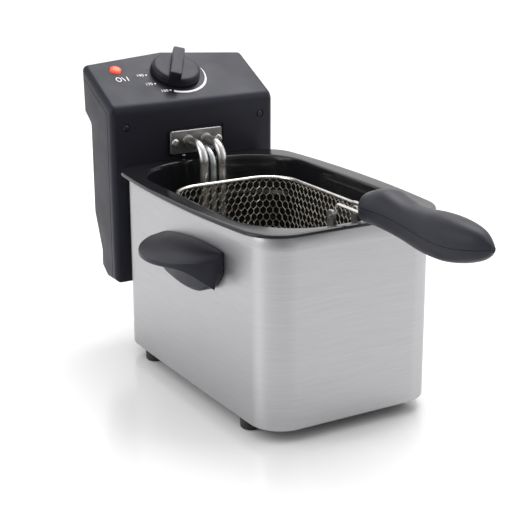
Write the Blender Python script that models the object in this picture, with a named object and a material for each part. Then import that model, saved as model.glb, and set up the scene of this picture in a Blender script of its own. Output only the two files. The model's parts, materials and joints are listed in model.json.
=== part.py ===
"""Deep fryer with a lift-off control head, removable pot and wire basket.

Working units are millimetres: X to the right, Y from the middle of the casing
towards the control head, Z up from the surface the feet stand on.  MM and
Y_MIDDLE turn them into metres, with the origin under the middle of the object.
"""

import math

import bmesh
import bpy
from mathutils import Matrix, Vector

MM = 0.001

# ---- driving dimensions ---------------------------------------------------
FOOT_HEIGHT = 10.0
FOOT_RADIUS = 8.0
FOOT_X = 67.0
FOOT_Y = 82.5

CASING_HALF_WIDTH = 75.7
CASING_BOW = 1.6
CASING_HALF_LENGTH = 124.8
CASING_CORNER = 25.3
CASING_WALL = 1.0
CASING_BOTTOM = FOOT_HEIGHT
CASING_TOP = 160.5

FLANGE_TOP = 162.6
FLANGE_HALF_WIDTH = 80.0
FLANGE_BOW = 9.2
FLANGE_HALF_LENGTH = 128.6
FLANGE_CORNER = 27.0
FLANGE_THICKNESS = 1.4
LIP_DROP = 2.8

POT_HALF_WIDTH = 71.5
POT_HALF_LENGTH = 118.5
POT_CORNER = 52.0
POT_WALL = 1.4
POT_FLOOR = 22.0

HEAD_HALF_WIDTH = 79.7
HEAD_FRONT = 129.5
HEAD_BOTTOM = 57.0
HEAD_REAR = 200.0
HEAD_CHEVRON = 9.0
HEAD_WALL = 2.4
HEAD_EDGE = 5.0
PANEL_ANGLE = math.radians(27.5)
PANEL_Y = 133.0
PANEL_Z = 213.5
SEAM_Y = 138.5
SEAM_DEPTH = 9.0

KNOB_RADIUS = 22.5
KNOB_BAR = 5.9
KNOB_HEIGHT = 14.5
KNOB_TURN = math.radians(29.0)
KNOB_ALONG = 38.0
LAMP_RADIUS = 5.3
LAMP_X = -53.0
LAMP_ALONG = 49.5

PLATE_Z = 177.0
PLATE_WIDTH = 51.0
PLATE_HEIGHT = 20.5
PLATE_THICKNESS = 3.4
TUBE_RADIUS = 4.0
TUBE_SPACING = 17.6
TUBE_BEND = 14.0
TUBE_DROP_Y = 97.0
ELEMENT_Z = 42.0

BASKET_HALF_WIDTH = 57.0
BASKET_REAR = 80.0
BASKET_FRONT = -104.0
BASKET_CORNER = 30.0
BASKET_TOP = 149.5
BASKET_BOTTOM = 62.0
WIRE_RADIUS = 1.75

PRONG_X = 7.0
PRONG_RADIUS = 1.3
PRONG_Z = 173.3
PRONG_END_Y = -158.0
PIVOT_Y = -106.0
PIVOT_Z = 165.0
EAR_INSIDE = 9.3
EAR_OUTSIDE = 12.3
# Along the handle: y, height of its underside, of its crease and of its top, half width.
HANDLE_STATIONS = (
    (-131.0, 169.0, 175.0, 179.8, 3.2),
    (-133.0, 167.2, 176.2, 182.6, 6.2),
    (-137.0, 166.2, 177.9, 186.4, 9.2),
    (-142.0, 166.4, 179.4, 189.8, 11.8),
    (-148.0, 166.9, 180.4, 192.2, 13.8),
    (-155.0, 167.4, 181.0, 194.6, 14.8),
    (-165.0, 167.1, 181.3, 195.4, 14.8),
    (-177.0, 165.8, 180.8, 193.0, 13.7),
    (-190.0, 164.2, 179.4, 191.0, 13.2),
    (-206.0, 161.9, 177.6, 191.4, 13.6),
    (-220.0, 161.5, 176.4, 192.8, 14.4),
    (-235.0, 162.3, 175.9, 193.3, 14.6),
    (-250.0, 165.3, 176.5, 192.3, 12.8),
    (-262.0, 169.3, 178.0, 189.9, 8.8),
    (-270.0, 173.9, 179.4, 185.6, 4.6),
    (-274.3, 178.4, 180.3, 182.4, 1.8),
)
HANDLE_TIP = HANDLE_STATIONS[-1][0]

GAP = 0.3
Y_MIDDLE = (HEAD_REAR + HANDLE_TIP) / 2


# ---- small tools ----------------------------------------------------------
def world(x, y, z):
    """A working-unit point in metres, with the origin under the middle."""
    return Vector((x, y - Y_MIDDLE, z)) * MM


def panel_point(x, along, above=0.0):
    """A point on the sloping top panel, raised along the panel's normal."""
    y = PANEL_Y + along * math.cos(PANEL_ANGLE) - above * math.sin(PANEL_ANGLE)
    z = PANEL_Z + along * math.sin(PANEL_ANGLE) + above * math.cos(PANEL_ANGLE)
    return (x, y, z)


def material(name, colour, metallic, roughness):
    made = bpy.data.materials.new(name)
    made.use_nodes = True
    shader = made.node_tree.nodes["Principled BSDF"]
    shader.inputs["Base Color"].default_value = (*colour, 1.0)
    shader.inputs["Metallic"].default_value = metallic
    shader.inputs["Roughness"].default_value = roughness
    return made


def clear_scene():
    for item in list(bpy.data.objects):
        bpy.data.objects.remove(item, do_unlink=True)


def link(name, data, mat):
    piece = bpy.data.objects.new(name, data)
    bpy.context.scene.collection.objects.link(piece)
    if mat is not None:
        data.materials.append(mat)
    return piece


def finish_mesh(name, bm, mat, sharp_angle=35.0):
    bmesh.ops.recalc_face_normals(bm, faces=bm.faces)
    mesh = bpy.data.meshes.new(name)
    bm.to_mesh(mesh)
    bm.free()
    mesh.shade_smooth()
    mesh.set_sharp_from_angle(angle=math.radians(sharp_angle))
    return link(name, mesh, mat)


def ring_solid(name, rings, mat, sharp_angle=35.0):
    """A closed solid through rings of equal point counts, capped at both ends."""
    bm = bmesh.new()
    loops = [[bm.verts.new(world(*point)) for point in ring] for ring in rings]
    count = len(loops[0])
    for near, far in zip(loops, loops[1:]):
        for k in range(count):
            after = (k + 1) % count
            bm.faces.new((near[k], near[after], far[after], far[k]))
    bm.faces.new(loops[0])
    bm.faces.new(loops[-1])
    return finish_mesh(name, bm, mat, sharp_angle)


def box(name, low, high, mat):
    (x0, y0, z0), (x1, y1, z1) = low, high
    square = [(x0, y0), (x1, y0), (x1, y1), (x0, y1)]
    return ring_solid(name, [[(x, y, z) for x, y in square] for z in (z0, z1)], mat)


def turned(name, base, axis, profile, mat, steps=20):
    """A solid of revolution: profile holds (height, radius) from base along axis."""
    direction = Vector(axis).normalized()
    side = direction.orthogonal().normalized()
    other = direction.cross(side)
    rings = []
    for height, radius in profile:
        ring = []
        for k in range(steps):
            turn = 2 * math.pi * k / steps
            spoke = side * math.cos(turn) + other * math.sin(turn)
            ring.append(Vector(base) + direction * height + spoke * radius)
        rings.append(ring)
    return ring_solid(name, rings, mat)


def prism_x(name, outline, x0, x1, mat):
    """An outline in the YZ plane, extruded from x0 to x1."""
    return ring_solid(name, [[(x, y, z) for y, z in outline] for x in (x0, x1)], mat)


def rounded_path(points, radius, steps=6):
    """The path through points with each inner corner turned into an arc."""
    points = [Vector(point) for point in points]
    path = [points[0]]
    for before, corner, after in zip(points, points[1:], points[2:]):
        inward = (before - corner).normalized()
        outward = (after - corner).normalized()
        half = inward.angle(outward) / 2
        reach = min(radius / math.tan(half), 0.49 * (before - corner).length,
                    0.49 * (after - corner).length)
        turn_radius = reach * math.tan(half)
        middle = (inward + outward).normalized()
        centre = corner + middle * (turn_radius / math.sin(half))
        start = corner + inward * reach - centre
        end = corner + outward * reach - centre
        sweep = start.angle(end)
        for k in range(steps + 1):
            part = k / steps
            spoke = (start * math.sin((1 - part) * sweep) + end * math.sin(part * sweep))
            path.append(centre + spoke / math.sin(sweep))
    path.append(points[-1])
    return path


def wire(name, path, radius, mat, closed=False, resolution=2):
    """A round wire or tube along a path, with filled ends."""
    curve = bpy.data.curves.new(name, "CURVE")
    curve.dimensions = "3D"
    curve.bevel_depth = radius * MM
    curve.bevel_resolution = resolution
    curve.use_fill_caps = not closed
    spline = curve.splines.new("POLY")
    spline.points.add(len(path) - 1)
    for point, place in zip(spline.points, path):
        point.co = (*world(*place), 1.0)
    spline.use_cyclic_u = closed
    return link(name, curve, mat)


def boolean(piece, operation, cutter):
    step = piece.modifiers.new(f"{operation.lower()}_{cutter.name}", "BOOLEAN")
    step.operation = operation
    step.solver = "EXACT"
    step.object = cutter
    cutter.hide_render = True
    cutter.display_type = "WIRE"


def plan(half_width, y_front, y_rear, corner, bow=0.0, arc_steps=6, side_steps=4):
    """A rounded rectangle in plan, its long sides bowed outward by bow."""
    corners = ((1, y_rear, 0), (-1, y_rear, 90), (-1, y_front, 180), (1, y_front, 270))
    outline = []
    for index, (side, y_edge, start) in enumerate(corners):
        inward = -1 if y_edge == y_rear else 1
        centre = (side * (half_width - corner), y_edge + inward * corner)
        for k in range(arc_steps + 1):
            turn = math.radians(start + 90 * k / arc_steps)
            outline.append((centre[0] + corner * math.cos(turn),
                            centre[1] + corner * math.sin(turn)))
        if index in (1, 3):
            first, last = (y_rear - corner, y_front + corner)
            if index == 3:
                first, last = last, first
            for k in range(1, side_steps):
                outline.append((side * half_width, first + (last - first) * k / side_steps))
    middle, half = (y_front + y_rear) / 2, (y_rear - y_front) / 2
    return [(x + math.copysign(bow * (1 - ((y - middle) / half) ** 2), x), y)
            for x, y in outline]


def level(outline, z):
    return [(x, y, z) for x, y in outline]


# ---- base -----------------------------------------------------------------
def casing_plan(inset):
    return plan(CASING_HALF_WIDTH - inset, -CASING_HALF_LENGTH + inset,
                CASING_HALF_LENGTH - inset, CASING_CORNER - inset, CASING_BOW)


def build_casing(steel):
    """An open sheet-steel sleeve: outer wall up, inner wall down, joined at both ends."""
    outer, inner = casing_plan(0), casing_plan(CASING_WALL)
    rings = [level(outer, CASING_BOTTOM), level(outer, CASING_TOP),
             level(inner, CASING_TOP), level(inner, CASING_BOTTOM)]
    bm = bmesh.new()
    loops = [[bm.verts.new(world(*point)) for point in ring] for ring in rings]
    count = len(outer)
    for near, far in zip(loops, loops[1:] + loops[:1]):
        for k in range(count):
            after = (k + 1) % count
            bm.faces.new((near[k], near[after], far[after], far[k]))
    return finish_mesh("casing", bm, steel)


def build_base(mats):
    inset = CASING_WALL + GAP
    outline = casing_plan(inset)
    ring_solid("base_plate", [level(outline, FOOT_HEIGHT + 1.0),
                              level(outline, FOOT_HEIGHT + 3.5)], mats["plastic"])
    for end, y in (("front", -FOOT_Y), ("rear", FOOT_Y)):
        for side, x in (("left", -FOOT_X), ("right", FOOT_X)):
            turned(f"foot_{end}_{side}", (x, y, 0), (0, 0, 1),
                   [(0, FOOT_RADIUS - 1.2), (1.2, FOOT_RADIUS), (FOOT_HEIGHT + 0.7, FOOT_RADIUS)],
                   mats["rubber"], 16)
            turned(f"foot_screw_{end}_{side}", (x, y, FOOT_HEIGHT + 3.8), (0, 0, 1),
                   [(0, 3.6), (1.4, 3.4), (2.2, 2.0)], mats["screw"], 10)


def build_guide_bracket(mats):
    """A T-shaped rail on the casing's back that the control head drops onto."""
    back = CASING_HALF_LENGTH + GAP
    web, flange = 20.0, 27.0
    front_wall = HEAD_FRONT + HEAD_WALL
    outline = [(-flange, back), (flange, back), (flange, back + 2.0), (web, back + 2.0),
               (web, front_wall + 1.0), (flange, front_wall + 1.0), (flange, front_wall + 3.0),
               (-flange, front_wall + 3.0), (-flange, front_wall + 1.0),
               (-web, front_wall + 1.0), (-web, back + 2.0), (-flange, back + 2.0)]
    ring_solid("head_guide_bracket", [level(outline, 75.0), level(outline, 140.0)],
               mats["plastic"])
    for label, z in (("lower", 90.0), ("upper", 125.0)):
        for side, x in (("left", -24.0), ("right", 24.0)):
            turned(f"bracket_rivet_{label}_{side}", (x, CASING_HALF_LENGTH - 1.3, z), (0, -1, 0),
                   [(0, 3.2), (0.9, 2.8), (1.5, 1.4)], mats["screw"], 10)


SIDE_HANDLE_MIDDLE = -12.0
SIDE_HANDLE_HALF = 50.0
SIDE_HANDLE_REACH = 40.0


def side_handle_sections(side):
    """Cross-sections of the carry handle from its front end to its rear end."""
    sections = []
    stations = 19
    wall = CASING_HALF_WIDTH + CASING_BOW + 0.5
    for k in range(stations):
        part = 0.985 * (-1 + 2 * k / (stations - 1))
        y = SIDE_HANDLE_MIDDLE + SIDE_HANDLE_HALF * part
        ahead, behind = max(0.0, -part), max(0.0, part)
        swell = math.sqrt(1 - part * part)
        reach = max(SIDE_HANDLE_REACH * swell, 8.0 if part < 0 else 5.0)
        top = 135.9 - 0.00155 * (y + 35.0) ** 2
        edge_top = min(124.0 + 0.0009 * (y - 8.0) ** 2 + 2.3 * behind ** 6, top - 1.5)
        edge_low = edge_top - 3.4 - 20.0 * ahead ** 6
        foot = min(98.3 + 22.0 * ahead ** 4 + 3.0 * behind + 12.0 * behind ** 8, top - 7.5)
        foot_reach = max(2.5, min(reach - 3.0, 8.0 * swell + 3.0))
        roof = min(max(edge_low - 1.0 + 6.0 * swell ** 2, foot + 2.5), top - 4.0)
        outline = [(0.0, top)]
        outline += [(reach * part_out, top + (edge_top - top) * part_out ** 1.5)
                    for part_out in (0.4, 0.75)]
        outline += [(reach, edge_top), (reach, edge_low),
                    (0.5 * (reach + foot_reach), 0.5 * (edge_low + roof)), (foot_reach, roof),
                    (foot_reach, foot + 1.5), (foot_reach - 1.5, foot), (0.0, foot)]
        sections.append([(side * (wall + x), y, z) for x, z in outline])
    return sections


def build_side_handles(mats):
    for label, side in (("left", -1), ("right", 1)):
        ring_solid(f"side_handle_{label}", side_handle_sections(side), mats["handle"])
        for end, y in (("front", -34.0), ("rear", 26.0)):
            inner_wall = CASING_HALF_WIDTH + CASING_BOW * (1 - (y / CASING_HALF_LENGTH) ** 2)
            turned(f"side_handle_screw_{label}_{end}",
                   (side * (inner_wall - CASING_WALL - 0.5), y, 115.0), (-side, 0, 0),
                   [(0, 2.2), (0.8, 1.9), (1.2, 1.2)], mats["screw"], 10)


# ---- pot ------------------------------------------------------------------
def pot_plan(inset):
    return plan(POT_HALF_WIDTH - inset, -POT_HALF_LENGTH + inset, POT_HALF_LENGTH - inset,
                POT_CORNER - inset, 1.5, 9, 4)


def flange_plan(inset):
    return plan(FLANGE_HALF_WIDTH - inset, -FLANGE_HALF_LENGTH + inset,
                FLANGE_HALF_LENGTH - inset, FLANGE_CORNER - inset, FLANGE_BOW, 9, 4)


def build_pot(mats):
    """Inside floor, up the inner wall, out over the flange, and back down outside."""
    rings = [level(pot_plan(14.0), POT_FLOOR)]
    for k in range(1, 4):
        turn = math.pi / 2 * k / 3
        rings.append(level(pot_plan(4.0 + 10.0 * (1 - math.sin(turn))),
                           POT_FLOOR + 10.0 * (1 - math.cos(turn))))
    rings.append(level(pot_plan(3.0), 128.0))
    rings.append(level(pot_plan(1.2), 131.0))
    rings.append(level(pot_plan(0.6), FLANGE_TOP - 4.0))
    rings.append(level(pot_plan(0.0), FLANGE_TOP - 1.4))
    rings.append(level(pot_plan(-1.6), FLANGE_TOP - 0.2))
    rings.append(level(flange_plan(3.0), FLANGE_TOP))
    rings.append(level(flange_plan(0.9), FLANGE_TOP - 0.4))
    rings.append(level(flange_plan(0.0), FLANGE_TOP - 1.5))
    rings.append(level(flange_plan(0.2), FLANGE_TOP - LIP_DROP))
    rings.append(level(flange_plan(1.4), FLANGE_TOP - LIP_DROP))
    rings.append(level(flange_plan(2.4), FLANGE_TOP - FLANGE_THICKNESS - 0.4))
    rings.append(level(pot_plan(-1.6), FLANGE_TOP - FLANGE_THICKNESS - 0.4))
    rings.append(level(pot_plan(-1.2), FLANGE_TOP - 6.0))
    rings.append(level(pot_plan(1.6 - POT_WALL), 127.0))
    rings.append(level(pot_plan(3.0 - POT_WALL), 124.0))
    for k in range(3, 0, -1):
        turn = math.pi / 2 * k / 3
        rings.append(level(pot_plan(4.0 - POT_WALL + 10.0 * (1 - math.sin(turn))),
                           POT_FLOOR - POT_WALL + 10.0 * (1 - math.cos(turn))))
    rings.append(level(pot_plan(14.0 - POT_WALL), POT_FLOOR - POT_WALL))
    return ring_solid("inner_pot", rings, mats["enamel"])


# ---- control head ---------------------------------------------------------
def head_profile(rear_shift, inset):
    """The head's side view shrunk by inset, its rear moved in for the chevron back."""
    slope = Vector((math.cos(PANEL_ANGLE), math.sin(PANEL_ANGLE)))
    panel_start = Vector((PANEL_Y, PANEL_Z))
    rear = HEAD_REAR - rear_shift
    meeting = panel_start + slope * ((HEAD_FRONT - PANEL_Y) / slope.x)
    top_rear = panel_start + slope * ((rear - PANEL_Y) / slope.x)
    corners = [((HEAD_FRONT, HEAD_BOTTOM), 1.5), (tuple(meeting), 10.0), (tuple(top_rear), 4.0),
               ((rear - 2.0, 200.0), 4.0), ((176.5, 191.0), 3.0), ((176.0, 112.0), 12.0),
               ((163.0, 80.0), 3.0), ((163.5, 65.5), 4.0), ((152.0, HEAD_BOTTOM), 4.0)]
    points = [Vector(corner) for corner, _radius in corners]
    count = len(points)
    inner = []
    for k in range(count):
        arrive = (points[k] - points[k - 1]).normalized()
        leave = (points[(k + 1) % count] - points[k]).normalized()
        inward = Vector((arrive.y, -arrive.x)) + Vector((leave.y, -leave.x))
        inner.append(points[k] + inward * inset / (1 + arrive.dot(leave)))
    outline = []
    for k in range(count):
        arrive, leave = inner[k] - inner[k - 1], inner[(k + 1) % count] - inner[k]
        convex = arrive.x * leave.y - arrive.y * leave.x < 0
        radius = corners[k][1] + (-inset if convex else inset)
        arc = rounded_path([(*inner[k - 1], 0), (*inner[k], 0), (*inner[(k + 1) % count], 0)],
                           max(radius, 0.6), 4)[1:-1]
        outline += [(point.x, point.y) for point in arc]
    return outline


def head_solid(name, inset, mat):
    """The head's full form, lofted across its width, shrunk by inset."""
    rings = []
    half = HEAD_HALF_WIDTH - inset
    for k in (0, 1, 2, 3):
        turn = math.pi / 2 * k / 3
        edge = max(HEAD_EDGE - inset, 1.0)
        rings.append((-half + edge * (1 - math.cos(turn)), edge * (1 - math.sin(turn))))
    mirrored = [(-x, extra) for x, extra in reversed(rings)]
    rings = rings + [(0.0, 0.0)] + mirrored
    sections = []
    for x, extra in rings:
        shift = HEAD_CHEVRON * abs(x) / HEAD_HALF_WIDTH
        outline = head_profile(shift, inset + extra)
        sections.append([(x, y, z) for y, z in outline])
    return ring_solid(name, sections, mat)


def seam_region(extra):
    """The part of the head that belongs to the front shell, in side view."""
    slope = math.tan(PANEL_ANGLE)
    drop = SEAM_DEPTH / math.cos(PANEL_ANGLE) + extra
    seam = SEAM_Y + extra
    low = PANEL_Z - drop
    return [(110.0, 30.0), (seam, 30.0), (seam, low + (seam - PANEL_Y) * slope),
            (225.0, low + (225.0 - PANEL_Y) * slope), (225.0, 290.0), (110.0, 290.0)]


def build_head_shells(mats):
    plastic = mats["plastic"]
    front = head_solid("head_front_shell", 0.0, plastic)
    rear = head_solid("head_rear_cover", 0.0, plastic)
    hollow = head_solid("head_hollow", HEAD_WALL, None)
    keep = prism_x("seam_keep", seam_region(0.0), -90.0, 90.0, None)
    drop = prism_x("seam_drop", seam_region(GAP), -90.0, 90.0, None)
    rail = box("rail_slot", (-21.5, 120.0, 40.0), (21.5, HEAD_FRONT + 3.2, 143.0), None)
    foot = box("rail_mouth", (-28.5, 120.0, 40.0), (28.5, HEAD_FRONT + 7.5, HEAD_BOTTOM + 8.0),
               None)
    tray = box("plate_recess", (-PLATE_WIDTH / 2 - 2.4, 120.0, PLATE_Z - PLATE_HEIGHT / 2 - 2.4),
               (PLATE_WIDTH / 2 + 2.4, HEAD_FRONT + 1.0, PLATE_Z + PLATE_HEIGHT / 2 + 2.4), None)
    window = box("plate_window", (-17.0, 120.0, PLATE_Z - 8.4), (17.0, HEAD_FRONT + 9, PLATE_Z + 8.4),
                 None)
    normal = (0, -math.sin(PANEL_ANGLE), math.cos(PANEL_ANGLE))
    shaft_hole = turned("shaft_hole", panel_point(0, KNOB_ALONG, -12.0), normal,
                        [(0, 4.0), (20.0, 4.0)], None, 16)
    lamp_hole = turned("lamp_hole", panel_point(LAMP_X, LAMP_ALONG, -12.0), normal,
                       [(0, LAMP_RADIUS + GAP), (20.0, LAMP_RADIUS + GAP)], None, 24)
    for cutter in (hollow, rail, foot, tray, window, shaft_hole, lamp_hole):
        boolean(front, "DIFFERENCE", cutter)
    boolean(front, "INTERSECT", keep)
    cord_hole = turned("cord_hole", (48.0, 150.0, 88.0), (0, 1, 0), [(0, 7.3), (50.0, 7.3)],
                       None, 16)
    reset_hole = turned("reset_hole", (-40.0, 150.0, 150.0), (0, 1, 0), [(0, 4.3), (50.0, 4.3)],
                        None, 16)
    for cutter in (hollow, cord_hole, reset_hole, foot):
        boolean(rear, "DIFFERENCE", cutter)
    boolean(rear, "DIFFERENCE", drop)
    for side, x in (("left", -66.0), ("right", 66.0)):
        sink = turned(f"screw_sink_{side}", (x, 120.0, 194.3), (0, 1, 0),
                      [(0, 3.4), (HEAD_FRONT + 1.2 - 120.0, 3.4)], None, 12)
        boolean(front, "DIFFERENCE", sink)
        turned(f"case_screw_{side}", (x, HEAD_FRONT + 0.9, 194.3), (0, -1, 0),
               [(0, 2.9), (0.6, 2.9), (0.9, 2.0)], mats["screw"], 12)


def build_element(mats):
    """Mounting plate, heating tube, sensor tube and the screws that hold them."""
    front = HEAD_FRONT + 1.0 - GAP
    half_w, half_h = PLATE_WIDTH / 2, PLATE_HEIGHT / 2
    outline = plan(half_w, -half_h, half_h, 2.0, 0.0, 3, 2)
    plate = ring_solid("element_plate", [[(x, front - depth, PLATE_Z + z) for x, z in outline]
                                         for depth in (0.0, PLATE_THICKNESS)], mats["polished"])
    holes = [(-TUBE_SPACING / 2, PLATE_Z + 1.0, TUBE_RADIUS + GAP),
             (TUBE_SPACING / 2, PLATE_Z + 1.0, TUBE_RADIUS + GAP),
             (0.0, PLATE_Z - 4.6, 3.0 + GAP)]
    for index, (x, z, radius) in enumerate(holes):
        hole = turned(f"tube_hole_{index}", (x, front + 5.0, z), (0, -1, 0),
                      [(0, radius), (15.0, radius)], None, 16)
        boolean(plate, "DIFFERENCE", hole)
    back = HEAD_FRONT + 13.0
    exit_z = PLATE_Z + 1.0
    rear_y, front_y, wide = 82.0, -78.0, 46.0
    half = TUBE_SPACING / 2
    path = [(-half, back, exit_z), (-half, TUBE_DROP_Y, exit_z), (-half, TUBE_DROP_Y, ELEMENT_Z),
            (-half, rear_y, ELEMENT_Z), (-wide, rear_y, ELEMENT_Z), (-wide, front_y, ELEMENT_Z),
            (-14.0, front_y, ELEMENT_Z), (-14.0, 45.0, ELEMENT_Z), (14.0, 45.0, ELEMENT_Z),
            (14.0, front_y, ELEMENT_Z), (wide, front_y, ELEMENT_Z), (wide, rear_y, ELEMENT_Z),
            (half, rear_y, ELEMENT_Z), (half, TUBE_DROP_Y, ELEMENT_Z),
            (half, TUBE_DROP_Y, exit_z), (half, back, exit_z)]
    wire("heating_element", rounded_path(path, TUBE_BEND, 5), TUBE_RADIUS, mats["tube"])
    sensor = [(0.0, back, PLATE_Z - 4.6), (0.0, TUBE_DROP_Y, PLATE_Z - 4.6),
              (0.0, TUBE_DROP_Y, ELEMENT_Z + 26.0)]
    wire("sensor_tube", rounded_path(sensor, TUBE_BEND - 2.0, 5), 3.0, mats["sensor"])
    for side, x in (("left", -21.3), ("right", 21.3)):
        turned(f"plate_screw_{side}", (x, front - PLATE_THICKNESS - GAP, PLATE_Z), (0, -1, 0),
               [(0, 3.7), (1.2, 3.6), (2.2, 2.2)], mats["screw"], 14)
    turned("earth_screw", (-12.0, HEAD_FRONT - GAP, 164.7), (0, -1, 0),
           [(0, 1.7), (0.9, 1.6), (1.7, 0.8)], mats["screw"], 12)


def build_head_internals(mats):
    normal = Vector((0, -math.sin(PANEL_ANGLE), math.cos(PANEL_ANGLE)))
    under = panel_point(0, KNOB_ALONG, -HEAD_WALL - GAP - 16.0)
    turned("thermostat_body", under, normal, [(0, 11.0), (15.8, 11.0)], mats["bakelite"], 16)
    turned("lamp_body", panel_point(LAMP_X, LAMP_ALONG, -14.0), normal,
           [(0, 5.0), (10.0, 5.0)], mats["bakelite"], 14)
    turned("indicator_lens", panel_point(LAMP_X, LAMP_ALONG, -3.6), normal,
           [(0, LAMP_RADIUS), (4.0, LAMP_RADIUS), (5.2, 4.2), (5.8, 2.2)], mats["lens"], 24)
    box("safety_microswitch", (-60.0, 140.0, 150.0), (-40.0, 147.0, 162.0), mats["bakelite"])
    box("terminal_block", (28.0, 145.0, 110.0), (60.0, 160.0, 124.0), mats["bakelite"])
    turned("thermal_cutout", (-40.0, 148.0, 150.0), (0, 1, 0), [(0, 9.0), (14.0, 9.0)],
           mats["bakelite"], 16)
    turned("cord_gland", (48.0, 165.0, 88.0), (0, 1, 0),
           [(0, 7.0), (14.0, 7.0)], mats["rubber"], 16)
    turned("reset_button", (-40.0, 164.0, 150.0), (0, 1, 0),
           [(0, 4.0), (13.0, 4.0), (13.6, 3.4)], mats["red"], 14)


def build_knob(mats):
    """A round skirt with a straight grip bar across it, and its spindle."""
    normal = Vector((0, -math.sin(PANEL_ANGLE), math.cos(PANEL_ANGLE)))
    knob = turned("thermostat_knob", panel_point(0, KNOB_ALONG, 0.8), normal,
                  [(0, KNOB_RADIUS), (4.6, KNOB_RADIUS - 0.6), (6.8, KNOB_RADIUS - 2.0),
                   (7.3, KNOB_RADIUS - 5.0)], mats["handle"], 32)
    across, away = math.cos(KNOB_TURN), math.sin(KNOB_TURN)
    rings = []
    for above, shrink in ((2.0, 0.0), (KNOB_HEIGHT - 0.8, 0.7), (KNOB_HEIGHT, 1.5)):
        corners = plan(KNOB_BAR - shrink, -KNOB_RADIUS + 0.4 + shrink, KNOB_RADIUS - 0.4 - shrink,
                       1.4, 0.0, 2, 2)
        rings.append([panel_point(x * across + along * away,
                                  KNOB_ALONG - x * away + along * across, above)
                      for x, along in corners])
    bar = ring_solid("knob_bar", rings, mats["handle"])
    boolean(knob, "UNION", bar)
    turned("thermostat_spindle", panel_point(0, KNOB_ALONG, -2.0), normal,
           [(0, 3.0), (2.4, 3.0)], mats["polished"], 12)


# ---- basket ---------------------------------------------------------------
def basket_plan(inset):
    return plan(BASKET_HALF_WIDTH - inset, BASKET_FRONT + inset, BASKET_REAR - inset,
                BASKET_CORNER - 0.6 * inset, 1.0, 6, 4)


def build_basket(mats):
    """A thin open-topped bowl of mesh hung in a round rim wire."""
    under = BASKET_TOP - WIRE_RADIUS - GAP
    wall = 1.2
    rings = [level(basket_plan(12.0 + wall), BASKET_BOTTOM + wall),
             level(basket_plan(6.0 + wall), BASKET_BOTTOM + wall + 1.5),
             level(basket_plan(3.5 + wall), BASKET_BOTTOM + 9.0),
             level(basket_plan(0.2 + wall), under), level(basket_plan(0.2), under),
             level(basket_plan(3.5), BASKET_BOTTOM + 8.5),
             level(basket_plan(6.0), BASKET_BOTTOM + 1.5),
             level(basket_plan(12.0), BASKET_BOTTOM)]
    ring_solid("basket_body", rings, mats["polished"])
    rim = [(x, y, BASKET_TOP) for x, y in basket_plan(WIRE_RADIUS)]
    wire("basket_rim_wire", rim, WIRE_RADIUS, mats["polished"], closed=True)


def build_handle_mount(mats):
    """The bracket on the basket's front rim, with an eye for each prong."""
    low = BASKET_TOP + WIRE_RADIUS + GAP
    outline = [(PIVOT_Y + 4.5, low), (PIVOT_Y - 4.0, low), (PIVOT_Y - 4.0, PIVOT_Z + 2.0),
               (PIVOT_Y - 2.0, PIVOT_Z + 4.0), (PIVOT_Y + 2.5, PIVOT_Z + 4.0),
               (PIVOT_Y + 4.5, PIVOT_Z + 2.0)]
    bracket = prism_x("basket_bracket", outline, -EAR_OUTSIDE, EAR_OUTSIDE, mats["polished"])
    middle = box("bracket_gap", (-EAR_INSIDE, PIVOT_Y - 9.0, low + 4.0),
                 (EAR_INSIDE, PIVOT_Y + 9.0, PIVOT_Z + 9.0), None)
    boolean(bracket, "DIFFERENCE", middle)
    eye = turned("prong_eye", (-EAR_OUTSIDE - 2.0, PIVOT_Y, PIVOT_Z), (1, 0, 0),
                 [(0, PRONG_RADIUS + GAP), (2 * EAR_OUTSIDE + 4.0, PRONG_RADIUS + GAP)], None, 12)
    boolean(bracket, "DIFFERENCE", eye)


# ---- basket handle --------------------------------------------------------
def handle_shell_rings(upper):
    """Half-oval sections of one handle shell, from the root to the tip."""
    steps = 10
    rings = []
    for y, low, crease, top, half_width in HANDLE_STATIONS:
        sign = 1 if upper else -1
        depth = (top - crease if upper else crease - low) - GAP / 2
        ring = []
        for k in range(steps + 1):
            turn = math.pi * k / steps
            across = math.copysign(abs(math.cos(turn)) ** 0.85, math.cos(turn))
            rise = math.sin(turn) ** 0.85 if 0 < k < steps else 0.0
            ring.append((half_width * across, y, crease + sign * (GAP / 2 + depth * rise)))
        rings.append(ring)
    return rings


def build_handle(mats):
    """Two prongs of bent wire, gripped between an upper and a lower shell."""
    upper = ring_solid("handle_upper_shell", handle_shell_rings(True), mats["handle"])
    lower = ring_solid("handle_lower_shell", handle_shell_rings(False), mats["handle"])
    for side, sign in (("left", -1), ("right", 1)):
        x = sign * PRONG_X
        path = [(x + sign * 6.0, PIVOT_Y, PIVOT_Z), (x, PIVOT_Y, PIVOT_Z),
                (x, PIVOT_Y, PRONG_Z), (x, PRONG_END_Y, PRONG_Z)]
        wire(f"handle_prong_{side}", rounded_path(path, 4.0, 4), PRONG_RADIUS, mats["polished"])
        slot = turned(f"prong_slot_{side}", (x, PRONG_END_Y - 1.0, PRONG_Z), (0, 1, 0),
                      [(0, PRONG_RADIUS + GAP), (45.0, PRONG_RADIUS + GAP)], None, 12)
        boolean(lower, "DIFFERENCE", slot)
    sink = turned("handle_screw_sink", (0.0, -205.0, 150.0), (0, 0, 1),
                  [(0, 4.0), (17.0, 4.0)], None, 14)
    boolean(lower, "DIFFERENCE", sink)
    turned("handle_screw", (0.0, -205.0, 167.0 - GAP), (0, 0, -1),
           [(0, 3.4), (0.8, 3.4), (1.2, 2.6)], mats["screw"], 12)


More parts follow.
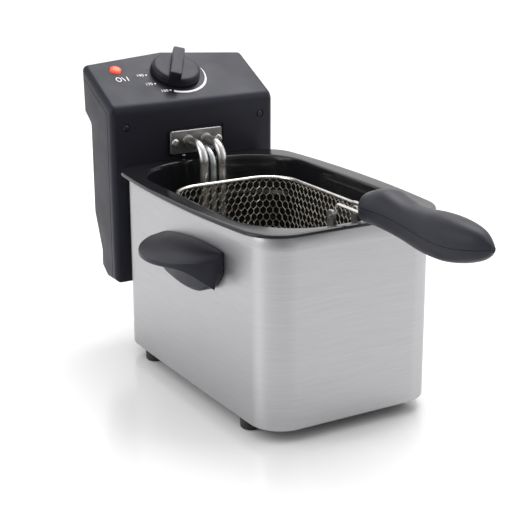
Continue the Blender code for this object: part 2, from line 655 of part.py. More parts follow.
# ---- assembly -------------------------------------------------------------
MOVING_PIECES = {
    "pot_lift": ((0.0, 0.0, FLANGE_TOP), ("inner_pot",)),
    "head_lift": ((0.0, HEAD_FRONT, HEAD_BOTTOM), (
        "head_front_shell", "head_rear_cover", "case_screw_left", "case_screw_right",
        "element_plate", "heating_element", "sensor_tube", "plate_screw_left",
        "plate_screw_right", "earth_screw", "thermostat_body", "lamp_body", "indicator_lens",
        "safety_microswitch", "terminal_block", "thermal_cutout", "cord_gland")),
    "knob_turn": (panel_point(0.0, KNOB_ALONG), ("thermostat_knob", "thermostat_spindle")),
    "reset_press": ((-40.0, 164.0, 150.0), ("reset_button",)),
    "basket_lift": ((0.0, BASKET_FRONT, BASKET_TOP), (
        "basket_body", "basket_rim_wire", "basket_bracket")),
    "handle_fold": ((0.0, PIVOT_Y, PIVOT_Z), (
        "handle_prong_left", "handle_prong_right", "handle_upper_shell",
        "handle_lower_shell", "handle_screw")),
}


def parent_moving_pieces():
    """Hang each moving group on an empty that stands on its joint's axis."""
    for name, (place, pieces) in MOVING_PIECES.items():
        empty = bpy.data.objects.new(name, None)
        bpy.context.scene.collection.objects.link(empty)
        empty.location = world(*place)
        for piece_name in pieces:
            piece = bpy.data.objects[piece_name]
            piece.parent = empty
            piece.matrix_parent_inverse = Matrix.Translation(-empty.location)


def main():
    clear_scene()
    steel = material("brushed_steel", (0.62, 0.61, 0.61), 1.0, 0.36)
    mats = {
        "plastic": material("charcoal_plastic", (0.05, 0.05, 0.058), 0.0, 0.45),
        "handle": material("handle_plastic", (0.045, 0.046, 0.052), 0.0, 0.42),
        "enamel": material("black_enamel", (0.012, 0.012, 0.013), 0.0, 0.15),
        "polished": material("polished_steel", (0.70, 0.69, 0.67), 1.0, 0.22),
        "tube": material("heater_steel", (0.58, 0.57, 0.56), 1.0, 0.3),
        "sensor": material("sensor_steel", (0.48, 0.52, 0.52), 1.0, 0.35),
        "screw": material("screw_steel", (0.55, 0.54, 0.52), 1.0, 0.3),
        "rubber": material("foot_rubber", (0.02, 0.02, 0.02), 0.0, 0.7),
        "bakelite": material("bakelite", (0.03, 0.025, 0.02), 0.0, 0.5),
        "lens": material("indicator_lens", (0.85, 0.16, 0.05), 0.0, 0.2),
        "red": material("reset_red", (0.5, 0.03, 0.02), 0.0, 0.4),
    }
    build_casing(steel)
    build_base(mats)
    build_guide_bracket(mats)
    build_side_handles(mats)
    build_pot(mats)
    build_head_shells(mats)
    build_element(mats)
    build_head_internals(mats)
    build_knob(mats)
    build_basket(mats)
    build_handle_mount(mats)
    build_handle(mats)
    parent_moving_pieces()


main()
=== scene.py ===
"""Looks of the deep fryer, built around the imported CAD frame.

Working units are millimetres with y = 0 at the middle of the casing; at() turns them
into the frame's metres.  Each visible CAD node is replaced by a finer piece of the
same size, and each hidden one keeps its shape and gets a procedural material.
"""

import json
import math

import bmesh
import bpy
from mathutils import Matrix, Vector


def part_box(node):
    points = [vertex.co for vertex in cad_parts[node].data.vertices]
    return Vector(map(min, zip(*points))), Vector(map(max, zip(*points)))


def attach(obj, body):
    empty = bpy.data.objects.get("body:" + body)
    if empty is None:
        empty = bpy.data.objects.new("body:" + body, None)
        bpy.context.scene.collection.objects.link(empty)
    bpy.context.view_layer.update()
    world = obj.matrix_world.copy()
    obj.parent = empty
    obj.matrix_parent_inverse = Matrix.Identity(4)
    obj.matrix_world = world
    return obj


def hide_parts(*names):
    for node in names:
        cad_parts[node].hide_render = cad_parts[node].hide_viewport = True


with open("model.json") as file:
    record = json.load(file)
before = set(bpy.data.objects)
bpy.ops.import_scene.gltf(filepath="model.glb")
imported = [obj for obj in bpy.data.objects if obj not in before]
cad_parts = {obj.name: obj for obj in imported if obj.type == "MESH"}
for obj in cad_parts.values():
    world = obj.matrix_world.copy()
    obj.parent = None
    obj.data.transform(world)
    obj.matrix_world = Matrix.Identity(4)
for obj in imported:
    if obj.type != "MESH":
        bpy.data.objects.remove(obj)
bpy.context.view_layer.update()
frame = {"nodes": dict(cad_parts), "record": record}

MM = 0.001
GAP = 0.3


def node_box(node):
    """A CAD node's lowest and highest corners in working units."""
    low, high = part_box(node)
    return [Vector((c.x, c.y - CASING_MIDDLE, c.z)) / MM for c in (low, high)]


casing_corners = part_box("casing")
CASING_MIDDLE = (casing_corners[0].y + casing_corners[1].y) / 2


def at(x, y, z):
    """A working-unit point in the frame's metres."""
    return Vector((x * MM, y * MM + CASING_MIDDLE, z * MM))


# ---- sizes, from the frame ------------------------------------------------
CASING_LOW, CASING_HIGH = node_box("casing")
CASING_BOW = 1.6
CASING_HALF_WIDTH = CASING_HIGH.x - CASING_BOW
CASING_HALF_LENGTH = CASING_HIGH.y
CASING_CORNER = 25.3
CASING_WALL = 1.0

FLANGE_TOP = node_box("inner_pot")[1].z
FLANGE_BOW = 9.2
FLANGE_HALF_WIDTH = node_box("inner_pot")[1].x - FLANGE_BOW
FLANGE_HALF_LENGTH = node_box("inner_pot")[1].y
FLANGE_CORNER = 27.0
LIP_DROP = 2.8
POT_HALF_WIDTH = 71.5
POT_HALF_LENGTH = 118.5
POT_CORNER = 52.0
POT_WALL = 1.4
POT_FLOOR = 22.0

HEAD_LOW, HEAD_HIGH = node_box("head_front_shell")
HEAD_HALF_WIDTH = HEAD_HIGH.x
HEAD_FRONT = HEAD_LOW.y
HEAD_BOTTOM = HEAD_LOW.z
HEAD_REAR = 200.0
HEAD_CHEVRON = 9.0
HEAD_WALL = 2.4
HEAD_EDGE = 5.0
PANEL_ANGLE = math.radians(27.5)
PANEL_Y = 133.0
PANEL_Z = 213.5
PANEL_NORMAL = Vector((0, -math.sin(PANEL_ANGLE), math.cos(PANEL_ANGLE)))
SEAM_Y = 138.5
SEAM_DEPTH = 9.0
RAIL_SLOT_X = 21.5
RAIL_SLOT_TOP = 143.0
RAIL_MOUTH_X = 28.5
PLATE_MARGIN = 2.4
WINDOW_X = 17.0
WINDOW_Z = 8.4
SHAFT_HOLE_RADIUS = 4.0
CASE_SCREW_X = 66.0
CASE_SCREW_Z = 194.3
CASE_SINK_RADIUS = 3.4
CORD_X, CORD_Z, CORD_HOLE_RADIUS = 48.0, 88.0, 7.3
RESET_X, RESET_Z, RESET_HOLE_RADIUS = -40.0, 150.0, 4.3
BEFORE_HEAD = 120.0
INSIDE_COVER = 150.0

KNOB_ALONG = 38.0
KNOB_RADIUS = 22.5
KNOB_BAR = 5.9
KNOB_HEIGHT = 14.5
KNOB_TURN = math.radians(29.0)
LAMP_X = -53.0
LAMP_ALONG = 49.5
LAMP_RADIUS = 5.3

PLATE_LOW, PLATE_HIGH = node_box("element_plate")
PLATE_Z = (PLATE_LOW.z + PLATE_HIGH.z) / 2
TUBE_RADIUS = 4.0
TUBE_SPACING = 17.6
TUBE_BEND = 14.0
TUBE_DROP_Y = 97.0
TUBE_RISE = 1.0
SENSOR_RADIUS = 3.0
SENSOR_SINK = 4.6
SENSOR_ABOVE_ELEMENT = 26.0
ELEMENT_Z = 42.0
ELEMENT_REAR = 82.0
ELEMENT_FRONT = -78.0
ELEMENT_HALF_WIDTH = 46.0
INNER_LOOP_X = 14.0
INNER_LOOP_REAR = 45.0

BASKET_LOW, BASKET_HIGH = node_box("basket_rim_wire")
WIRE_RADIUS = (BASKET_HIGH.z - BASKET_LOW.z) / 2
BASKET_TOP = BASKET_HIGH.z - WIRE_RADIUS
BASKET_BOTTOM = node_box("basket_body")[0].z
BASKET_BOW = 1.0
BASKET_CORNER = 30.0

PRONG_X = 7.0
PRONG_RADIUS = 1.3
PRONG_Z = 173.3
PRONG_END_Y = -158.0
PIVOT_Y = -106.0
PIVOT_Z = 165.0
EAR_INSIDE = 9.3
EAR_OUTSIDE = 12.3
PRONG_SLOT_LENGTH = 45.0
HANDLE_SCREW_Y = -205.0


# ---- materials ------------------------------------------------------------
def shader(name, colour, metallic, roughness, **sockets):
    """A Principled material; extra sockets are given by name with _ for a space."""
    made = bpy.data.materials.new(name)
    made.use_nodes = True
    bsdf = made.node_tree.nodes["Principled BSDF"]
    bsdf.inputs["Base Color"].default_value = (*colour, 1.0)
    bsdf.inputs["Metallic"].default_value = metallic
    bsdf.inputs["Roughness"].default_value = roughness
    for socket, value in sockets.items():
        bsdf.inputs[socket.replace("_", " ")].default_value = value
    return made


def texture(mat, scale, stretch=(1, 1, 1), detail=3.0):
    """Noise over the object's own coordinates, its scale in cycles per metre."""
    tree = mat.node_tree
    place = tree.nodes.new("ShaderNodeTexCoord")
    mapping = tree.nodes.new("ShaderNodeMapping")
    mapping.inputs["Scale"].default_value = stretch
    noise = tree.nodes.new("ShaderNodeTexNoise")
    noise.inputs["Scale"].default_value = scale
    noise.inputs["Detail"].default_value = detail
    tree.links.new(place.outputs["Object"], mapping.inputs["Vector"])
    tree.links.new(mapping.outputs["Vector"], noise.inputs["Vector"])
    return noise.outputs["Fac"]


def bump(mat, height, strength, distance):
    """Lets a texture raise the surface's normals."""
    tree = mat.node_tree
    node = tree.nodes.new("ShaderNodeBump")
    node.inputs["Strength"].default_value = strength
    node.inputs["Distance"].default_value = distance
    tree.links.new(height, node.inputs["Height"])
    tree.links.new(node.outputs["Normal"], tree.nodes["Principled BSDF"].inputs["Normal"])


def vary_roughness(mat, source, low, high):
    """Spreads the roughness between low and high after a texture."""
    tree = mat.node_tree
    spread = tree.nodes.new("ShaderNodeMapRange")
    spread.inputs["From Min"].default_value = 0.3
    spread.inputs["From Max"].default_value = 0.7
    spread.inputs["To Min"].default_value = low
    spread.inputs["To Max"].default_value = high
    tree.links.new(source, spread.inputs["Value"])
    tree.links.new(spread.outputs["Result"], tree.nodes["Principled BSDF"].inputs["Roughness"])


def vary_colour(mat, source, dark, light, low=0.3, high=0.7):
    """Spreads the base colour between dark and light after a texture."""
    tree = mat.node_tree
    ramp = tree.nodes.new("ShaderNodeValToRGB")
    ramp.color_ramp.elements[0].position = low
    ramp.color_ramp.elements[0].color = (*dark, 1.0)
    ramp.color_ramp.elements[1].position = high
    ramp.color_ramp.elements[1].color = (*light, 1.0)
    tree.links.new(source, ramp.inputs["Fac"])
    tree.links.new(ramp.outputs["Color"], tree.nodes["Principled BSDF"].inputs["Base Color"])


def brushed_steel():
    """Sheet steel with a fine horizontal grain."""
    mat = shader("brushed_casing_steel", (0.41, 0.41, 0.415), 1.0, 0.34, Anisotropic=0.5)
    tree = mat.node_tree
    tangent = tree.nodes.new("ShaderNodeTangent")
    tangent.direction_type = "RADIAL"
    tangent.axis = "Z"
    tree.links.new(tangent.outputs["Tangent"], tree.nodes["Principled BSDF"].inputs["Tangent"])
    grain = texture(mat, 1.0, (40, 40, 3400), 4.0)
    vary_roughness(mat, grain, 0.33, 0.39)
    vary_colour(mat, texture(mat, 1.0, (30, 30, 2200), 4.0), (0.405, 0.405, 0.415),
                (0.455, 0.455, 0.466))
    bump(mat, grain, 0.035, 0.0001)
    return mat


def grained_plastic(name, colour, roughness, grain=2200.0, depth=0.16):
    """Moulded plastic with a fine spark-eroded grain and a slight unevenness of shine."""
    mat = shader(name, colour, 0.0, roughness, Specular_IOR_Level=0.22,
                 Specular_Tint=(0.88, 0.89, 1.0, 1.0))
    vary_roughness(mat, texture(mat, 45.0), roughness - 0.05, roughness + 0.06)
    bump(mat, texture(mat, grain, detail=2.0), depth, 0.0001)
    lighter = tuple(1.25 * c for c in colour)
    vary_colour(mat, texture(mat, 14.0), colour, lighter)
    return mat


def black_enamel():
    """Smooth black enamel with a slight unevenness of shine."""
    mat = shader("black_pot_enamel", (0.010, 0.010, 0.012), 0.0, 0.16, Coat_Weight=0.1,
                 Coat_Roughness=0.08, Specular_IOR_Level=0.3)
    bump(mat, texture(mat, 160.0, detail=2.0), 0.05, 0.0004)
    vary_roughness(mat, texture(mat, 30.0), 0.13, 0.22)
    return mat


def drawn_steel(name, dark, light, roughness, scale=90.0):
    """Polished bar, wire or pressed steel with faint drawing marks."""
    mat = shader(name, light, 1.0, roughness)
    vary_colour(mat, texture(mat, scale, detail=4.0), dark, light)
    vary_roughness(mat, texture(mat, 4 * scale), roughness - 0.05, roughness + 0.09)
    bump(mat, texture(mat, 12 * scale, detail=2.0), 0.05, 0.0001)
    return mat


def lit_lens():
    """Orange plastic, lit from within."""
    mat = shader("lit_orange_lens", (0.9, 0.13, 0.03), 0.0, 0.12, Transmission_Weight=0.25,
                 Emission_Color=(1.0, 0.09, 0.03, 1.0), Emission_Strength=0.45)
    vary_colour(mat, texture(mat, 420.0), (0.55, 0.04, 0.012), (0.85, 0.14, 0.05))
    return mat


def rubber():
    mat = shader("foot_rubber", (0.018, 0.018, 0.019), 0.0, 0.72)
    bump(mat, texture(mat, 1300.0), 0.25, 0.0002)
    vary_roughness(mat, texture(mat, 60.0), 0.62, 0.8)
    return mat


def printed_ink():
    mat = shader("white_dial_ink", (0.86, 0.86, 0.86), 0.0, 0.5)
    vary_colour(mat, texture(mat, 900.0), (0.80, 0.80, 0.80), (0.90, 0.90, 0.90))
    return mat


STEEL = brushed_steel()
HEAD_PLASTIC = grained_plastic("charcoal_head_plastic", (0.0110, 0.0113, 0.0165), 0.36)
HANDLE_PLASTIC = grained_plastic("handle_plastic", (0.0180, 0.0184, 0.0240), 0.38)
KNOB_PLASTIC = grained_plastic("knob_plastic", (0.0090, 0.0092, 0.0125), 0.36)
ENAMEL = black_enamel()
POLISHED = drawn_steel("polished_wire_steel", (0.62, 0.60, 0.57), (0.82, 0.80, 0.77), 0.2)
MESH_STEEL = drawn_steel("mesh_wire_steel", (0.66, 0.60, 0.50), (0.88, 0.84, 0.76), 0.24)
TUBE_STEEL = drawn_steel("heater_tube_steel", (0.50, 0.49, 0.48), (0.60, 0.59, 0.58), 0.27, 30.0)
SENSOR_STEEL = drawn_steel("sensor_tube_steel", (0.44, 0.48, 0.48), (0.52, 0.56, 0.56), 0.34,
                           30.0)
PLATE_STEEL = drawn_steel("plate_steel", (0.24, 0.235, 0.235), (0.34, 0.33, 0.33), 0.3, 40.0)
DARK_SCREW_STEEL = drawn_steel("dark_screw_steel", (0.035, 0.035, 0.04), (0.07, 0.07, 0.08), 0.35,
                               220.0)
SCREW_STEEL = drawn_steel("screw_steel", (0.42, 0.41, 0.39), (0.66, 0.65, 0.62), 0.3, 220.0)
RUBBER = rubber()
LENS = lit_lens()
INK = printed_ink()
BAKELITE = grained_plastic("moulded_bakelite", (0.03, 0.025, 0.02), 0.5)
RESET_RED = grained_plastic("reset_red_plastic", (0.45, 0.02, 0.015), 0.3)


# ---- small tools ----------------------------------------------------------
def place(piece, body, slot, *replaced):
    """Hangs a piece on its body, in place of the CAD nodes it replaces; the slot argument is not
    used.
    """
    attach(piece, body)
    if replaced:
        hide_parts(*replaced)
    return piece


def link(name, data, mat):
    piece = bpy.data.objects.new(name, data)
    bpy.context.scene.collection.objects.link(piece)
    if mat is not None:
        data.materials.append(mat)
    return piece


def smooth(mesh, sharp_angle=38.0):
    mesh.shade_smooth()
    mesh.set_sharp_from_angle(angle=math.radians(sharp_angle))


def ring_solid(name, rings, mat, loop=False, sharp_angle=38.0):
    """A solid through rings of equal point counts: capped, or joined end to start."""
    bm = bmesh.new()
    loops = [[bm.verts.new(at(*point)) for point in ring] for ring in rings]
    count = len(loops[0])
    pairs = list(zip(loops, loops[1:] + loops[:1])) if loop else list(zip(loops, loops[1:]))
    for near, far in pairs:
        for k in range(count):
            after = (k + 1) % count
            bm.faces.new((near[k], near[after], far[after], far[k]))
    if not loop:
        bm.faces.new(loops[0])
        bm.faces.new(loops[-1])
    bmesh.ops.recalc_face_normals(bm, faces=bm.faces)
    mesh = bpy.data.meshes.new(name)
    bm.to_mesh(mesh)
    bm.free()
    smooth(mesh, sharp_angle)
    return link(name, mesh, mat)


def box(name, low, high, mat=None):
    (x0, y0, z0), (x1, y1, z1) = low, high
    square = [(x0, y0), (x1, y0), (x1, y1), (x0, y1)]
    return ring_solid(name, [[(x, y, z) for x, y in square] for z in (z0, z1)], mat)


def turned(name, base, axis, profile, mat=None, steps=48):
    """A solid of revolution: profile holds (height, radius) from base along axis."""
    direction = Vector(axis).normalized()
    side = direction.orthogonal().normalized()
    other = direction.cross(side)
    rings = []
    for height, radius in profile:
        ring = []
        for k in range(steps):
            turn = 2 * math.pi * k / steps
            spoke = side * math.cos(turn) + other * math.sin(turn)
            ring.append(Vector(base) + direction * height + spoke * radius)
        rings.append(ring)
    return ring_solid(name, rings, mat)


def cut(piece, cutter, operation="DIFFERENCE"):
    """Applies one Boolean and removes its cutter."""
    step = piece.modifiers.new("cut", "BOOLEAN")
    step.operation = operation
    step.solver = "EXACT"
    step.object = cutter
    graph = bpy.context.evaluated_depsgraph_get()
    result = bpy.data.meshes.new_from_object(piece.evaluated_get(graph))
    piece.modifiers.clear()
    piece.data = result
    bpy.data.objects.remove(cutter, do_unlink=True)


def soften(piece, width, segments=3, angle=35.0):
    """Rounds the sharp edges and evens the shading of the flat faces beside them."""
    smooth(piece.data)
    bevel = piece.modifiers.new("soft_edges", "BEVEL")
    bevel.width = width * MM
    bevel.segments = segments
    bevel.limit_method = "ANGLE"
    bevel.angle_limit = math.radians(angle)
    bevel.harden_normals = True


def rounded_path(points, radius, steps=10):
    """The path through points with each inner corner turned into an arc."""
    points = [Vector(point) for point in points]
    path = [points[0]]
    for before, corner, after in zip(points, points[1:], points[2:]):
        inward = (before - corner).normalized()
        outward = (after - corner).normalized()
        half = inward.angle(outward) / 2
        reach = min(radius / math.tan(half), 0.49 * (before - corner).length,
                    0.49 * (after - corner).length)
        turn_radius = reach * math.tan(half)
        middle = (inward + outward).normalized()
        centre = corner + middle * (turn_radius / math.sin(half))
        start = corner + inward * reach - centre
        end = corner + outward * reach - centre
        sweep = start.angle(end)
        for k in range(steps + 1):
            part = k / steps
            spoke = start * math.sin((1 - part) * sweep) + end * math.sin(part * sweep)
            path.append(centre + spoke / math.sin(sweep))
    path.append(points[-1])
    return path


def wire(name, paths, radius, mat, closed=False, resolution=5):
    """Round wire along each path, as one mesh."""
    curve = bpy.data.curves.new(name, "CURVE")
    curve.dimensions = "3D"
    curve.bevel_depth = radius * MM
    curve.bevel_resolution = resolution
    curve.use_fill_caps = not closed
    for path in paths:
        spline = curve.splines.new("POLY")
        spline.points.add(len(path) - 1)
        for point, spot in zip(spline.points, path):
            point.co = (*at(*spot), 1.0)
        spline.use_cyclic_u = closed
    guide = link(f"{name}_guide", curve, None)
    graph = bpy.context.evaluated_depsgraph_get()
    mesh = bpy.data.meshes.new_from_object(guide.evaluated_get(graph))
    bpy.data.objects.remove(guide, do_unlink=True)
    smooth(mesh, 50.0)
    return link(name, mesh, mat)


def plan(half_width, y_front, y_rear, corner, bow=0.0, arc_steps=20, side_steps=14):
    """A rounded rectangle in plan, its long sides bowed outward by bow."""
    corners = ((1, y_rear, 0), (-1, y_rear, 90), (-1, y_front, 180), (1, y_front, 270))
    outline = []
    for index, (side, y_edge, start) in enumerate(corners):
        inward = -1 if y_edge == y_rear else 1
        centre = (side * (half_width - corner), y_edge + inward * corner)
        for k in range(arc_steps + 1):
            turn = math.radians(start + 90 * k / arc_steps)
            outline.append((centre[0] + corner * math.cos(turn),
                            centre[1] + corner * math.sin(turn)))
        if index in (1, 3):
            first, last = y_rear - corner, y_front + corner
            if index == 3:
                first, last = last, first
            for k in range(1, side_steps):
                outline.append((side * half_width, first + (last - first) * k / side_steps))
    middle, half = (y_front + y_rear) / 2, (y_rear - y_front) / 2
    return [(x + math.copysign(bow * (1 - ((y - middle) / half) ** 2), x), y)
            for x, y in outline]


def level(outline, z):
    return [(x, y, z) for x, y in outline]


def panel_point(x, along, above=0.0):
    """A point on the sloping top panel, raised along the panel's normal."""
    y = PANEL_Y + along * math.cos(PANEL_ANGLE) - above * math.sin(PANEL_ANGLE)
    z = PANEL_Z + along * math.sin(PANEL_ANGLE) + above * math.cos(PANEL_ANGLE)
    return (x, y, z)


def cross_screw(name, base, axis, radius, height, body, node, mat):
    """A domed screw head with a cross recess."""
    direction = Vector(axis).normalized()
    profile = [(0, radius), (0.25 * height, radius)]
    for k in range(1, 7):
        turn = math.pi / 2 * k / 7
        profile.append((height * (0.25 + 0.75 * math.sin(turn)), radius * math.cos(turn) ** 0.7))
    head = turned(name, base, axis, profile, mat, 32)
    tip = Vector(base) + direction * height
    reach, half = 0.62 * radius, 0.13 * radius + 0.1
    side = Vector((0, 0, 1)) if abs(direction.z) < 0.5 else Vector((0, 1, 0))
    for turn in (25.0, 115.0):
        along = side.copy()
        along.rotate(Matrix.Rotation(math.radians(turn), 3, direction))
        across = direction.cross(along)
        square = [along * (a * reach) + across * (b * half)
                  for a, b in ((-1, -1), (1, -1), (1, 1), (-1, 1))]
        slot = ring_solid("slot", [[tip + spoke + direction * depth for spoke in square]
                                   for depth in (-0.55 * height, 0.5)], None)
        cut(head, slot)
    smooth(head.data)
    return place(head, body, "screw_steel", node)


# ---- base -----------------------------------------------------------------
def casing_plan(inset):
    return plan(CASING_HALF_WIDTH - inset, -CASING_HALF_LENGTH + inset,
                CASING_HALF_LENGTH - inset, CASING_CORNER - inset, CASING_BOW)


def build_casing():
    """A sheet-steel sleeve with its lower edge rolled slightly under."""
    low, high = CASING_LOW.z, CASING_HIGH.z
    rings = [level(casing_plan(CASING_WALL), low + 0.5), level(casing_plan(0.75), low + 0.05),
             level(casing_plan(0.3), low), level(casing_plan(0.08), low + 0.25),
             level(casing_plan(0), low + 0.8)]
    rings += [level(casing_plan(0), low + 0.8 + (high - low - 1.2) * k / 12)
              for k in range(1, 13)]
    rings += [level(casing_plan(0.3), high), level(casing_plan(0.7), high),
              level(casing_plan(CASING_WALL), high - 0.4)]
    place(ring_solid("casing_sheet", rings, STEEL, loop=True), "base", "casing_steel", "casing")


def build_feet():
    """Four round rubber feet with a groove near the top."""
    for end in ("front", "rear"):
        for side in ("left", "right"):
            node = f"foot_{end}_{side}"
            low, high = node_box(node)
            middle, radius = (low + high) / 2, (high.x - low.x) / 2
            profile = [(0, radius - 1.6), (0.25, radius - 1.0), (0.9, radius - 0.35),
                       (1.8, radius - 0.05), (4.0, radius), (4.5, radius - 0.4),
                       (5.0, radius - 0.4), (5.5, radius), (high.z, radius)]
            foot = turned(f"rubber_{node}", (middle.x, middle.y, 0), (0, 0, 1), profile, RUBBER)
            place(foot, "base", "rubber", node)


SIDE_HANDLE_MIDDLE = -12.0
SIDE_HANDLE_HALF = 50.0
SIDE_HANDLE_REACH = 40.0


def side_handle_section(side, part):
    """One cross-section of a carry handle; part runs from -1 at the front to 1."""
    wall = CASING_HALF_WIDTH + CASING_BOW + 0.5
    y = SIDE_HANDLE_MIDDLE + SIDE_HANDLE_HALF * part
    ahead, behind = max(0.0, -part), max(0.0, part)
    swell = math.sqrt(1 - part * part)
    reach = max(SIDE_HANDLE_REACH * swell, 8.0 if part < 0 else 5.0)
    top = 135.9 - 0.00155 * (y + 35.0) ** 2
    edge_top = min(124.0 + 0.0009 * (y - 8.0) ** 2 + 2.3 * behind ** 6, top - 1.5)
    edge_low = edge_top - 3.4 - 20.0 * ahead ** 6
    foot = min(98.3 + 22.0 * ahead ** 4 + 3.0 * behind + 12.0 * behind ** 8, top - 7.5)
    foot_reach = max(2.5, min(reach - 3.0, 8.0 * swell + 3.0))
    roof = min(max(edge_low - 1.0 + 6.0 * swell ** 2, foot + 2.5), top - 4.0)
    outline = [(0.0, top)]
    outline += [(reach * k / 8, top + (edge_top - top) * (k / 8) ** 1.5) for k in range(1, 8)]
    outline += [(reach - 0.4, edge_top + 0.2), (reach, edge_top - 0.7), (reach, edge_low + 0.7),
                (reach - 0.7, edge_low), (0.5 * (reach + foot_reach), 0.5 * (edge_low + roof)),
                (foot_reach + 0.6, roof), (foot_reach, roof - 0.5),
                (foot_reach, foot + 1.5), (foot_reach - 1.5, foot), (0.0, foot)]
    return [(side * (wall + x), y, z) for x, z in outline]


def build_side_handles():
    stations = 49
    for label, side in (("left", -1), ("right", 1)):
        parts = [-0.985 + 1.97 * k / (stations - 1) for k in range(stations)]
        sections = [side_handle_section(side, part) for part in parts]
        handle = ring_solid(f"carry_handle_{label}", sections, HANDLE_PLASTIC, sharp_angle=30.0)
        place(handle, "base", "handle_plastic", f"side_handle_{label}")


# ---- pot ------------------------------------------------------------------
def pot_plan(inset):
    return plan(POT_HALF_WIDTH - inset, -POT_HALF_LENGTH + inset, POT_HALF_LENGTH - inset,
                POT_CORNER - inset, 1.5)


def flange_plan(inset):
    return plan(FLANGE_HALF_WIDTH - inset, -FLANGE_HALF_LENGTH + inset,
                FLANGE_HALF_LENGTH - inset, FLANGE_CORNER - inset, FLANGE_BOW)


def build_pot():
    """Inside floor, up the inner wall, out over the flange, and back down outside."""
    def bowl(offset, drop):
        steps = 8
        for k in range(steps + 1):
            turn = math.pi / 2 * k / steps
            yield level(pot_plan(4.0 - offset + 10.0 * (1 - math.sin(turn))),
                        POT_FLOOR - drop + 10.0 * (1 - math.cos(turn)))

    top = FLANGE_TOP
    rings = list(bowl(0.0, 0.0))
    rings += [level(pot_plan(3.0), 127.0), level(pot_plan(2.8), 128.2), level(pot_plan(1.9), 129.6),
              level(pot_plan(1.2), 130.6), level(pot_plan(1.0), 132.0),
              level(pot_plan(0.6), top - 5.0), level(pot_plan(0.3), top - 3.0),
              level(pot_plan(-0.1), top - 1.8), level(pot_plan(-0.8), top - 0.9),
              level(pot_plan(-1.8), top - 0.5), level(pot_plan(-3.2), top - 0.35)]
    rings += [level(flange_plan(3.2), top - 0.05), level(flange_plan(2.2), top),
              level(flange_plan(1.2), top - 0.2), level(flange_plan(0.5), top - 0.7),
              level(flange_plan(0.1), top - 1.3), level(flange_plan(0.0), top - 2.0),
              level(flange_plan(0.15), top - LIP_DROP + 0.15),
              level(flange_plan(0.6), top - LIP_DROP),
              level(flange_plan(1.3), top - LIP_DROP + 0.1),
              level(flange_plan(1.5), top - LIP_DROP + 0.6), level(flange_plan(2.4), top - 1.8)]
    rings += [level(pot_plan(-3.0), top - 1.8), level(pot_plan(-1.6), top - 2.2),
              level(pot_plan(-1.2), top - 6.0), level(pot_plan(1.6 - POT_WALL), 128.5),
              level(pot_plan(3.0 - POT_WALL), 125.0)]
    rings += list(bowl(POT_WALL, POT_WALL))[::-1]
    pot = ring_solid("enamelled_pot", rings, ENAMEL, sharp_angle=60.0)
    place(pot, "pot", "pot_enamel", "inner_pot")


# ---- control head ---------------------------------------------------------
def head_profile(rear_shift, inset):
    """The head's side view shrunk by inset, its rear moved in for the chevron back."""
    slope = Vector((math.cos(PANEL_ANGLE), math.sin(PANEL_ANGLE)))
    panel_start = Vector((PANEL_Y, PANEL_Z))
    rear = HEAD_REAR - rear_shift
    meeting = panel_start + slope * ((HEAD_FRONT - PANEL_Y) / slope.x)
    top_rear = panel_start + slope * ((rear - PANEL_Y) / slope.x)
    corners = [((HEAD_FRONT, HEAD_BOTTOM), 1.5), (tuple(meeting), 10.0), (tuple(top_rear), 4.0),
               ((rear - 2.0, 200.0), 4.0), ((176.5, 191.0), 3.0), ((176.0, 112.0), 12.0),
               ((163.0, 80.0), 3.0), ((163.5, 65.5), 4.0), ((152.0, HEAD_BOTTOM), 4.0)]
    points = [Vector(corner) for corner, _radius in corners]
    count = len(points)
    inner = []
    for k in range(count):
        arrive = (points[k] - points[k - 1]).normalized()
        leave = (points[(k + 1) % count] - points[k]).normalized()
        inward = Vector((arrive.y, -arrive.x)) + Vector((leave.y, -leave.x))
        inner.append(points[k] + inward * inset / (1 + arrive.dot(leave)))
    outline = []
    for k in range(count):
        arrive, leave = inner[k] - inner[k - 1], inner[(k + 1) % count] - inner[k]
        convex = arrive.x * leave.y - arrive.y * leave.x < 0
        radius = corners[k][1] + (-inset if convex else inset)
        arc = rounded_path([(*inner[k - 1], 0), (*inner[k], 0), (*inner[(k + 1) % count], 0)],
                           max(radius, 0.6), 10)[1:-1]
        outline += [(point.x, point.y) for point in arc]
    return outline


def head_solid(name, inset, mat):
    """The head's full form, lofted across its width, shrunk by inset."""
    steps = 7
    half = HEAD_HALF_WIDTH - inset
    edge = max(HEAD_EDGE - inset, 1.0)
    rings = []
    for k in range(steps + 1):
        turn = math.pi / 2 * k / steps
        rings.append((-half + edge * (1 - math.cos(turn)), edge * (1 - math.sin(turn))))
    rings = rings + [(0.0, 0.0)] + [(-x, extra) for x, extra in reversed(rings)]
    sections = []
    for x, extra in rings:
        shift = HEAD_CHEVRON * abs(x) / HEAD_HALF_WIDTH
        sections.append([(x, y, z) for y, z in head_profile(shift, inset + extra)])
    return ring_solid(name, sections, mat)


def seam_prism(extra):
    """The region of the head in front of and above the seam between its shells."""
    slope = math.tan(PANEL_ANGLE)
    seam = SEAM_Y + extra
    low = PANEL_Z - SEAM_DEPTH / math.cos(PANEL_ANGLE) - extra
    outline = [(110.0, 30.0), (seam, 30.0), (seam, low + (seam - PANEL_Y) * slope),
               (225.0, low + (225.0 - PANEL_Y) * slope), (225.0, 290.0), (110.0, 290.0)]
    return ring_solid("seam", [[(x, y, z) for y, z in outline] for x in (-90.0, 90.0)], None)


